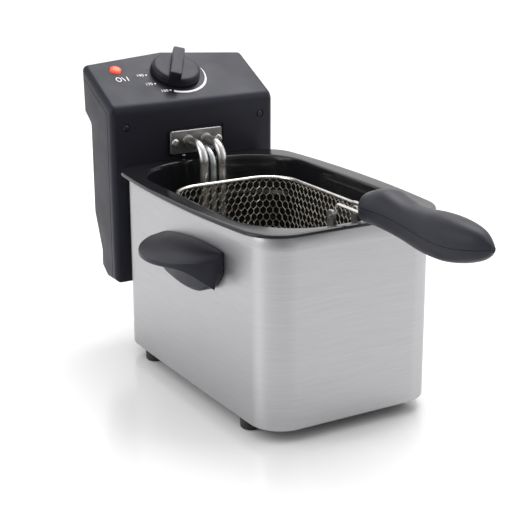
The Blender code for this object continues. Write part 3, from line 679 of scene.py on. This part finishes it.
def build_head():
    front = head_solid("head_front_moulding", 0.0, HEAD_PLASTIC)
    rear = head_solid("head_rear_moulding", 0.0, HEAD_PLASTIC)
    below = 40.0
    mouth = ((-RAIL_MOUTH_X, BEFORE_HEAD, below),
             (RAIL_MOUTH_X, HEAD_FRONT + 7.5, HEAD_BOTTOM + 8.0))
    front_cuts = [head_solid("hollow", HEAD_WALL, None),
                  box("rail_slot", (-RAIL_SLOT_X, BEFORE_HEAD, below),
                      (RAIL_SLOT_X, HEAD_FRONT + 3.2, RAIL_SLOT_TOP)),
                  box("rail_mouth", *mouth),
                  box("plate_recess",
                      (PLATE_LOW.x - PLATE_MARGIN, BEFORE_HEAD, PLATE_LOW.z - PLATE_MARGIN),
                      (PLATE_HIGH.x + PLATE_MARGIN, HEAD_FRONT + 1.0,
                       PLATE_HIGH.z + PLATE_MARGIN)),
                  box("plate_window", (-WINDOW_X, BEFORE_HEAD, PLATE_Z - WINDOW_Z),
                      (WINDOW_X, HEAD_FRONT + 9.0, PLATE_Z + WINDOW_Z)),
                  turned("shaft_hole", panel_point(0, KNOB_ALONG, -12.0), PANEL_NORMAL,
                         [(0, SHAFT_HOLE_RADIUS), (20.0, SHAFT_HOLE_RADIUS)]),
                  turned("lamp_hole", panel_point(LAMP_X, LAMP_ALONG, -12.0), PANEL_NORMAL,
                         [(0, LAMP_RADIUS + GAP), (20.0, LAMP_RADIUS + GAP)])]
    for x in (-CASE_SCREW_X, CASE_SCREW_X):
        depth = HEAD_FRONT + 1.2 - BEFORE_HEAD
        front_cuts.append(turned("screw_sink", (x, BEFORE_HEAD, CASE_SCREW_Z), (0, 1, 0),
                                 [(0, CASE_SINK_RADIUS), (depth, CASE_SINK_RADIUS)]))
    for cutter in front_cuts:
        cut(front, cutter)
    cut(front, seam_prism(0.0), "INTERSECT")
    rear_cuts = [head_solid("hollow", HEAD_WALL, None), box("rail_mouth", *mouth),
                 turned("cord_hole", (CORD_X, INSIDE_COVER, CORD_Z), (0, 1, 0),
                        [(0, CORD_HOLE_RADIUS), (50.0, CORD_HOLE_RADIUS)]),
                 turned("reset_hole", (RESET_X, INSIDE_COVER, RESET_Z), (0, 1, 0),
                        [(0, RESET_HOLE_RADIUS), (50.0, RESET_HOLE_RADIUS)]),
                 seam_prism(GAP)]
    for cutter in rear_cuts:
        cut(rear, cutter)
    for shell in (front, rear):
        soften(shell, 0.35, 2, 45.0)
    place(front, "head", "head_plastic", "head_front_shell")
    place(rear, "head", "head_plastic", "head_rear_cover")


def build_element():
    """Mounting plate, heating tube, sensor tube, their collars and screws."""
    front = PLATE_HIGH.y
    outline = plan(PLATE_HIGH.x, PLATE_LOW.z, PLATE_HIGH.z, 2.0, 0.0, 6, 2)
    inner = plan(PLATE_HIGH.x - 0.5, PLATE_LOW.z + 0.5, PLATE_HIGH.z - 0.5, 1.5, 0.0, 6, 2)
    rings = [[(x, PLATE_HIGH.y, z) for x, z in outline],
             [(x, PLATE_LOW.y + 0.5, z) for x, z in outline],
             [(x, PLATE_LOW.y, z) for x, z in inner]]
    plate = ring_solid("heater_plate", rings, PLATE_STEEL)
    half, exit_z, back = TUBE_SPACING / 2, PLATE_Z + TUBE_RISE, HEAD_FRONT + 13.0
    sensor_z = PLATE_Z - SENSOR_SINK
    holes = [(-half, exit_z, TUBE_RADIUS + GAP), (half, exit_z, TUBE_RADIUS + GAP),
             (0.0, sensor_z, SENSOR_RADIUS + GAP)]
    for x, z, radius in holes:
        cut(plate, turned("tube_hole", (x, front + 5.0, z), (0, -1, 0),
                          [(0, radius), (15.0, radius)]))
    smooth(plate.data)
    place(plate, "head", "bright_steel", "element_plate")
    right = [(INNER_LOOP_X, INNER_LOOP_REAR, ELEMENT_Z), (INNER_LOOP_X, ELEMENT_FRONT, ELEMENT_Z),
             (ELEMENT_HALF_WIDTH, ELEMENT_FRONT, ELEMENT_Z),
             (ELEMENT_HALF_WIDTH, ELEMENT_REAR, ELEMENT_Z), (half, ELEMENT_REAR, ELEMENT_Z),
             (half, TUBE_DROP_Y, ELEMENT_Z), (half, TUBE_DROP_Y, exit_z), (half, back, exit_z)]
    path = [(-x, y, z) for x, y, z in reversed(right)] + right
    tube = wire("heater_tube", [rounded_path(path, TUBE_BEND, 12)], TUBE_RADIUS, TUBE_STEEL,
                resolution=8)
    place(tube, "head", "heater_steel", "heating_element")
    sensor = [(0.0, back, sensor_z), (0.0, TUBE_DROP_Y, sensor_z),
              (0.0, TUBE_DROP_Y, ELEMENT_Z + SENSOR_ABOVE_ELEMENT)]
    feeler = wire("feeler_tube", [rounded_path(sensor, TUBE_BEND - 2.0, 12)], SENSOR_RADIUS,
                  SENSOR_STEEL, resolution=8)
    place(feeler, "head", "sensor_steel", "sensor_tube")
    for label, x in (("left", -half), ("right", half)):
        collar = turned(f"tube_collar_{label}", (x, PLATE_LOW.y + 0.3, exit_z), (0, -1, 0),
                        [(0, 5.4), (1.2, 5.4), (2.0, 5.0), (2.2, 4.1)], TUBE_STEEL)
        place(collar, "head", "heater_steel")
    for label in ("left", "right"):
        for kind, mat in (("plate", SCREW_STEEL), ("case", DARK_SCREW_STEEL)):
            node = f"{kind}_screw_{label}"
            low, high = node_box(node)
            middle = (low + high) / 2
            cross_screw(f"{kind}_cross_screw_{label}", (middle.x, high.y, middle.z), (0, -1, 0),
                        (high.x - low.x) / 2, high.y - low.y, "head", node, mat)
    low, high = node_box("earth_screw")
    middle, radius = (low + high) / 2, (high.x - low.x) / 2
    dome = [((high.y - low.y) * math.sin(math.pi / 2 * k / 8),
             radius * math.cos(math.pi / 2 * k / 8.4)) for k in range(9)]
    place(turned("earth_dome_screw", (middle.x, high.y, middle.z), (0, -1, 0), dome, POLISHED),
          "head", "screw_steel", "earth_screw")


def build_knob():
    """A round skirt with a straight grip bar across it, its front end at the 160 dot."""
    profile = [(0.8, KNOB_RADIUS - 0.5), (1.2, KNOB_RADIUS), (5.4, KNOB_RADIUS - 0.6),
               (6.8, KNOB_RADIUS - 1.1), (7.6, KNOB_RADIUS - 2.0), (8.0, KNOB_RADIUS - 3.2),
               (8.1, KNOB_RADIUS - 5.0)]
    knob = turned("dial_knob", panel_point(0, KNOB_ALONG), PANEL_NORMAL, profile, KNOB_PLASTIC, 96)
    sine, cosine = math.sin(KNOB_TURN), math.cos(KNOB_TURN)
    rings = []
    for above, shrink in ((2.0, 0.0), (KNOB_HEIGHT - 2.0, 0.5), (KNOB_HEIGHT - 0.8, 0.8),
                          (KNOB_HEIGHT - 0.2, 1.2), (KNOB_HEIGHT, 2.0)):
        corners = plan(KNOB_BAR - shrink, -KNOB_RADIUS + 0.4 + shrink, KNOB_RADIUS - 0.4 - shrink,
                       max(1.6 - 0.3 * shrink, 0.6), 0.0, 8, 4)
        rings.append([panel_point(x * cosine + along * sine,
                                  KNOB_ALONG - x * sine + along * cosine, above)
                      for x, along in corners])
    cut(knob, ring_solid("knob_bar", rings, None), "UNION")
    smooth(knob.data, 32.0)
    place(knob, "knob", "handle_plastic", "thermostat_knob")


def build_lamp():
    """The lamp's domed lens."""
    profile = [(-3.6, LAMP_RADIUS), (0.4, LAMP_RADIUS)]
    profile += [(0.4 + 1.8 * math.sin(math.pi / 2 * k / 9),
                 LAMP_RADIUS * math.cos(math.pi / 2 * k / 9.5)) for k in range(1, 10)]
    lens = turned("lamp_lens", panel_point(LAMP_X, LAMP_ALONG), PANEL_NORMAL, profile, LENS)
    place(lens, "head", "lens", "indicator_lens")


def panel_band(name, centre, points, thickness=0.12):
    """A thin printed band on the panel, through (x, along, half width) points."""
    left, right = [], []
    for k, (x, along, half) in enumerate(points):
        before, after = points[max(k - 1, 0)], points[min(k + 1, len(points) - 1)]
        run = Vector((after[0] - before[0], after[1] - before[1])).normalized()
        left.append((centre[0] + x - run.y * half, centre[1] + along + run.x * half))
        right.append((centre[0] + x + run.y * half, centre[1] + along - run.x * half))
    outline = left + right[::-1]
    band = ring_solid(name, [[panel_point(x, along, above) for x, along in outline]
                             for above in (-0.02, thickness)], INK)
    return place(band, "head", "head_plastic")


def build_dial_marks():
    """A tapering heat scale, dots with temperatures, and the off and on marks by the lamp."""
    centre = (0.0, KNOB_ALONG)
    circle = KNOB_RADIUS + 5.6
    steps = 30
    scale = []
    for k in range(steps + 1):
        turn = math.radians(8.0 - 124.0 * k / steps)
        scale.append((circle * math.cos(turn), circle * math.sin(turn),
                      0.3 + 0.85 * min(1.0, 2.2 * k / steps)))
    panel_band("heat_scale", centre, scale)
    for label, angle in (("160", 237.5), ("170", 206.5), ("190", 178.5)):
        turn = math.radians(angle)
        x, along = circle * math.cos(turn), KNOB_ALONG + circle * math.sin(turn)
        dot = turned(f"scale_dot_{label}", panel_point(x, along, -0.02), PANEL_NORMAL,
                     [(0, 0.9), (0.14, 0.9)], INK, 20)
        place(dot, "head", "head_plastic")
        text = bpy.data.curves.new(f"scale_text_{label}", "FONT")
        text.body = label
        text.size = 4.8 * MM
        text.extrude = 0.06 * MM
        text.align_x = "RIGHT"
        text.align_y = "CENTER"
        numeral = link(f"scale_text_{label}", text, INK)
        along_slope = Vector((0, math.cos(PANEL_ANGLE), math.sin(PANEL_ANGLE)))
        turned_axes = Matrix((Vector((1, 0, 0)), along_slope, PANEL_NORMAL)).transposed()
        numeral.matrix_world = (Matrix.Translation(at(*panel_point(x - 2.2, along, 0.05)))
                                @ turned_axes.to_4x4())
        place(numeral, "head", "head_plastic")
    ring = []
    for k in range(25):
        turn = 2 * math.pi * k / 24
        ring.append((2.2 * math.cos(turn), 2.9 * math.sin(turn), 0.42))
    panel_band("off_mark", (LAMP_X - 2.6, 36.0), ring[:-1] + [ring[0]])
    panel_band("slash_mark", (LAMP_X + 2.0, 36.0), [(-0.9, 3.0, 0.4), (0.9, -3.0, 0.4)])
    panel_band("on_mark", (LAMP_X + 6.0, 36.0), [(0.0, -3.0, 0.42), (0.0, 3.0, 0.42)])


# ---- basket ---------------------------------------------------------------
def basket_plan(inset, arc_steps=20, side_steps=14):
    return plan(BASKET_HIGH.x - BASKET_BOW - inset, BASKET_LOW.y + inset, BASKET_HIGH.y - inset,
                BASKET_CORNER - inset, BASKET_BOW, arc_steps, side_steps)


def evenly(outline, count):
    """count points spaced evenly round a closed outline, each with its inward normal."""
    points = [Vector(point) for point in outline]
    lengths = [(points[(k + 1) % len(points)] - points[k]).length for k in range(len(points))]
    total = sum(lengths)
    spots = []
    index, walked = 0, 0.0
    for k in range(count):
        goal = total * k / count
        while walked + lengths[index] < goal:
            walked += lengths[index]
            index += 1
        here, ahead = points[index], points[(index + 1) % len(points)]
        run = (ahead - here).normalized()
        spots.append((here + run * (goal - walked), Vector((-run.y, run.x))))
    return spots


def basket_inset(z):
    """How far the basket's wall has moved in at a height: a taper, then a round foot."""
    top = BASKET_TOP - WIRE_RADIUS
    foot_radius = 11.0
    taper = 1.2 + 3.4 * (top - z) / (top - BASKET_BOTTOM)
    sink = max(0.0, BASKET_BOTTOM + foot_radius - z) / foot_radius
    return taper + 7.5 * (1 - math.sqrt(max(0.0, 1 - sink * sink)))


def build_basket():
    """Woven six-sided mesh: zigzag strands that twist along their neighbours in turn."""
    strands, rows, thickness = 176, 15, 0.32
    top, low = BASKET_TOP - 0.6, BASKET_BOTTOM + 0.8
    spots = evenly(basket_plan(0.0), strands)
    run_length = sum((spots[(k + 1) % strands][0] - spots[k][0]).length
                     for k in range(strands)) / strands
    sway = run_length / 2 - 0.8 * thickness
    row_height = (top - low) / rows
    paths = []
    for k, (spot, inward) in enumerate(spots):
        run = Vector((inward.y, -inward.x))
        path = []
        for row in range(rows + 1):
            side = sway if (k + row) % 2 else -sway
            for part in (0.18, 0.82):
                z = max(top - row_height * (row - 0.5 + part), low)
                if row == 0 and part < 0.5:
                    z = top
                spread = side * (1 - basket_inset(z) / 60.0)
                point = spot + inward * basket_inset(z) + run * spread
                path.append((point.x, point.y, z))
        paths.append(path)
    mesh = wire("basket_wire_mesh", paths, thickness, MESH_STEEL, resolution=0)
    place(mesh, "basket", "bright_steel", "basket_body")

    floor_paths = []
    floor = basket_plan(basket_inset(low) - 0.5)
    reach_x = max(x for x, _y in floor)
    front, rear = min(y for _x, y in floor), max(y for _x, y in floor)
    pitch = 3.1
    columns = int(2 * reach_x / pitch)
    for column in range(columns + 1):
        x = -reach_x + 2 * reach_x * column / columns
        corner = BASKET_CORNER - 9.0
        over = max(0.0, abs(x) - (reach_x - corner))
        trim = corner - math.sqrt(max(0.0, corner * corner - over * over))
        y, path, row = front + trim, [], 0
        while y < rear - trim:
            side = (pitch / 2 - 0.3) * (1 if (column + row) % 2 else -1)
            path.append((max(-reach_x, min(reach_x, x + side)), y, low))
            path.append((max(-reach_x, min(reach_x, x + side)), min(y + 2.6, rear - trim), low))
            y, row = y + 4.6, row + 1
        floor_paths.append(path)
    floor_mesh = wire("basket_floor_mesh", floor_paths, thickness, MESH_STEEL, resolution=0)
    place(floor_mesh, "basket", "bright_steel")

    rim_path = [(x, y, BASKET_TOP) for x, y in basket_plan(WIRE_RADIUS)]
    rim = wire("basket_rim", [rim_path], WIRE_RADIUS, POLISHED, closed=True, resolution=6)
    place(rim, "basket", "bright_steel", "basket_rim_wire")
    foot_path = [(x, y, BASKET_BOTTOM + 1.6) for x, y in basket_plan(basket_inset(low) + 0.9)]
    foot_ring = wire("basket_foot_ring", [foot_path], 1.1, POLISHED, closed=True, resolution=4)
    place(foot_ring, "basket", "bright_steel")


def build_handle_mount():
    """The bracket on the basket's rim, with an eye for each prong."""
    low = BASKET_TOP + WIRE_RADIUS + GAP
    outline = [(PIVOT_Y + 4.5, low), (PIVOT_Y - 4.0, low), (PIVOT_Y - 4.0, PIVOT_Z + 2.0),
               (PIVOT_Y - 2.0, PIVOT_Z + 4.0), (PIVOT_Y + 2.5, PIVOT_Z + 4.0),
               (PIVOT_Y + 4.5, PIVOT_Z + 2.0)]
    bracket = ring_solid("handle_eye_bracket", [[(x, y, z) for y, z in outline]
                                                for x in (-EAR_OUTSIDE, EAR_OUTSIDE)], PLATE_STEEL)
    cut(bracket, box("gap", (-EAR_INSIDE, PIVOT_Y - 9.0, low + 4.0),
                     (EAR_INSIDE, PIVOT_Y + 9.0, PIVOT_Z + 9.0)))
    cut(bracket, turned("eye", (-EAR_OUTSIDE - 2.0, PIVOT_Y, PIVOT_Z), (1, 0, 0),
                        [(0, PRONG_RADIUS + GAP), (2 * EAR_OUTSIDE + 4.0, PRONG_RADIUS + GAP)]))
    soften(bracket, 0.5)
    place(bracket, "basket", "bright_steel", "basket_bracket")


# ---- basket handle --------------------------------------------------------
# y, height of the underside, of the crease and of the top, half width.
HANDLE_STATIONS = (
    (-131.0, 169.0, 175.0, 179.8, 3.2),
    (-133.0, 167.2, 176.2, 182.6, 6.2),
    (-137.0, 166.2, 177.9, 186.4, 9.2),
    (-142.0, 166.4, 179.4, 189.8, 11.8),
    (-148.0, 166.9, 180.4, 192.2, 13.8),
    (-155.0, 167.4, 181.0, 194.6, 14.8),
    (-165.0, 167.1, 181.3, 195.4, 14.8),
    (-177.0, 165.8, 180.8, 193.0, 13.7),
    (-190.0, 164.2, 179.4, 191.0, 13.2),
    (-206.0, 161.9, 177.6, 191.4, 13.6),
    (-220.0, 161.5, 176.4, 192.8, 14.4),
    (-235.0, 162.3, 175.9, 193.3, 14.6),
    (-250.0, 165.3, 176.5, 192.3, 12.8),
    (-262.0, 169.3, 178.0, 189.9, 8.8),
    (-270.0, 173.9, 179.4, 185.6, 4.6),
    (-274.3, 178.4, 180.3, 182.4, 1.8),
)


def smooth_stations(stations, between=6):
    """The stations with a smooth curve's values added between each two."""
    made = []
    last = len(stations) - 1
    for k in range(last):
        near = [stations[max(k - 1, 0)], stations[k], stations[k + 1], stations[min(k + 2, last)]]
        for step in range(between):
            t = step / between
            made.append(tuple(
                0.5 * (2 * b + (c - a) * t + (2 * a - 5 * b + 4 * c - d) * t * t
                       + (3 * b - a - 3 * c + d) * t ** 3)
                for a, b, c, d in zip(*near)))
    made.append(stations[-1])
    return made


def handle_rings(upper):
    steps = 32
    rings = []
    for y, low, crease, top, half_width in smooth_stations(HANDLE_STATIONS):
        sign = 1 if upper else -1
        depth = (top - crease if upper else crease - low) - GAP / 2
        ring = []
        for k in range(steps + 1):
            turn = math.pi * k / steps
            across = math.copysign(abs(math.cos(turn)) ** 0.85, math.cos(turn))
            rise = math.sin(turn) ** 0.85 if 0 < k < steps else 0.0
            ring.append((half_width * across, y, crease + sign * (GAP / 2 + depth * rise)))
        rings.append(ring)
    return rings


def build_handle():
    """Two prongs of bent wire, gripped between an upper and a lower shell."""
    upper = ring_solid("grip_upper_shell", handle_rings(True), HANDLE_PLASTIC)
    lower = ring_solid("grip_lower_shell", handle_rings(False), HANDLE_PLASTIC)
    for side, sign in (("left", -1), ("right", 1)):
        x = sign * PRONG_X
        path = [(x + sign * 6.0, PIVOT_Y, PIVOT_Z), (x, PIVOT_Y, PIVOT_Z),
                (x, PIVOT_Y, PRONG_Z), (x, PRONG_END_Y, PRONG_Z)]
        prong = wire(f"bent_prong_{side}", [rounded_path(path, 4.0, 10)], PRONG_RADIUS, POLISHED)
        place(prong, "handle", "bright_steel", f"handle_prong_{side}")
        cut(lower, turned("slot", (x, PRONG_END_Y - 1.0, PRONG_Z), (0, 1, 0),
                          [(0, PRONG_RADIUS + GAP), (PRONG_SLOT_LENGTH, PRONG_RADIUS + GAP)]))
    cut(lower, turned("sink", (0.0, HANDLE_SCREW_Y, 150.0), (0, 0, 1), [(0, 4.0), (17.0, 4.0)]))
    for shell, node in ((upper, "handle_upper_shell"), (lower, "handle_lower_shell")):
        smooth(shell.data)
        place(shell, "handle", "handle_plastic", node)
    low, high = node_box("handle_screw")
    middle = (low + high) / 2
    cross_screw("handle_cross_screw", (middle.x, middle.y, high.z), (0, 0, -1),
                (high.x - low.x) / 2, high.z - low.z, "handle", "handle_screw", SCREW_STEEL)


# ---- hidden CAD nodes -----------------------------------------------------
SLOT_MATERIALS = {
    "casing_steel": STEEL, "head_plastic": HEAD_PLASTIC, "handle_plastic": HANDLE_PLASTIC,
    "pot_enamel": ENAMEL, "bright_steel": POLISHED, "heater_steel": TUBE_STEEL,
    "sensor_steel": SENSOR_STEEL, "screw_steel": SCREW_STEEL, "rubber": RUBBER,
    "bakelite": BAKELITE, "lens": LENS, "reset_red": RESET_RED,
}


def dress_cad_nodes():
    """Gives each CAD node the procedural material of its record slot."""
    slots = {row["node"]: row["material_slot"] for row in frame["record"]["subparts"]}
    for name, node in frame["nodes"].items():
        node.data.materials.clear()
        node.data.materials.append(SLOT_MATERIALS[slots[name]])


# ---- stage, light and camera ----------------------------------------------
CAMERA_PLACE = (-530.0, -889.5, 422.1)
CAMERA_TARGET = (22.5, 55.5, 82.3)
CAMERA_ROLL = math.radians(-0.16)
CAMERA_LENS = 91.75


def build_camera():
    data = bpy.data.cameras.new("photo_camera")
    data.lens = CAMERA_LENS
    data.sensor_width = 36.0
    camera = bpy.data.objects.new("photo_camera", data)
    bpy.context.scene.collection.objects.link(camera)
    place_m, target_m = at(*CAMERA_PLACE), at(*CAMERA_TARGET)
    turn = (target_m - place_m).to_track_quat("-Z", "Y").to_matrix().to_4x4()
    camera.matrix_world = Matrix.Translation(place_m) @ turn @ Matrix.Rotation(CAMERA_ROLL, 4, "Z")
    bpy.context.scene.camera = camera


def build_floor():
    """A large white disc under the feet."""
    radius, steps = 3.0, 96
    bm = bmesh.new()
    rim = [bm.verts.new((radius * math.cos(2 * math.pi * k / steps),
                         radius * math.sin(2 * math.pi * k / steps), -0.0002))
           for k in range(steps)]
    bm.faces.new(rim)
    mesh = bpy.data.meshes.new("studio_floor")
    bm.to_mesh(mesh)
    bm.free()
    mat = shader("studio_floor_white", (0.93, 0.93, 0.93), 0.0, 0.16)
    vary_roughness(mat, texture(mat, 3.0), 0.14, 0.2)
    link("studio_floor", mesh, mat)


def area_light(name, place_m, target_m, size, power):
    data = bpy.data.lights.new(name, "AREA")
    data.shape = "RECTANGLE"
    data.size, data.size_y = size
    data.energy = power
    light = bpy.data.objects.new(name, data)
    bpy.context.scene.collection.objects.link(light)
    place_m = Vector(place_m)
    turn = (Vector(target_m) - place_m).to_track_quat("-Z", "Y").to_matrix().to_4x4()
    light.matrix_world = Matrix.Translation(place_m) @ turn


def build_light():
    """A white room with soft boxes above, to the left and to the right."""
    area_light("top_box", (0.55, 0.42, 1.45), (0, 0.05, 0.15), (1.1, 1.0), 14.0)
    area_light("left_box", (-1.5, 0.3, 0.8), (0, 0, 0.1), (1.0, 1.2), 8.0)
    area_light("right_box", (1.4, -0.7, 0.9), (0, 0, 0.1), (0.9, 1.1), 3.0)
    world = bpy.data.worlds.new("studio")
    bpy.context.scene.world = world
    world.use_nodes = True
    tree = world.node_tree
    sky = tree.nodes["Background"]
    sky.inputs["Strength"].default_value = 1.12
    direction = tree.nodes.new("ShaderNodeTexCoord")
    toward = tree.nodes.new("ShaderNodeVectorMath")
    toward.operation = "DOT_PRODUCT"
    toward.inputs[1].default_value = Vector((-0.5, -0.86, 0.0)).normalized()
    ramp = tree.nodes.new("ShaderNodeValToRGB")
    stops = ((0.0, 1.0), (0.3, 0.85), (0.6, 0.6), (0.85, 0.4), (0.98, 0.25))
    while len(ramp.color_ramp.elements) < len(stops):
        ramp.color_ramp.elements.new(0.5)
    for element, (spot, value) in zip(ramp.color_ramp.elements, stops):
        element.position = spot
        element.color = (value, value, value, 1.0)
    tree.links.new(direction.outputs["Generated"], toward.inputs[0])
    tree.links.new(toward.outputs["Value"], ramp.inputs["Fac"])
    tree.links.new(ramp.outputs["Color"], sky.inputs["Color"])
    bpy.context.scene.view_settings.view_transform = "Standard"


build_camera()
dress_cad_nodes()
build_casing()
build_feet()
build_side_handles()
build_pot()
build_head()
build_element()
build_knob()
build_lamp()
build_dial_marks()
build_basket()
build_handle_mount()
build_handle()
build_floor()
build_light()
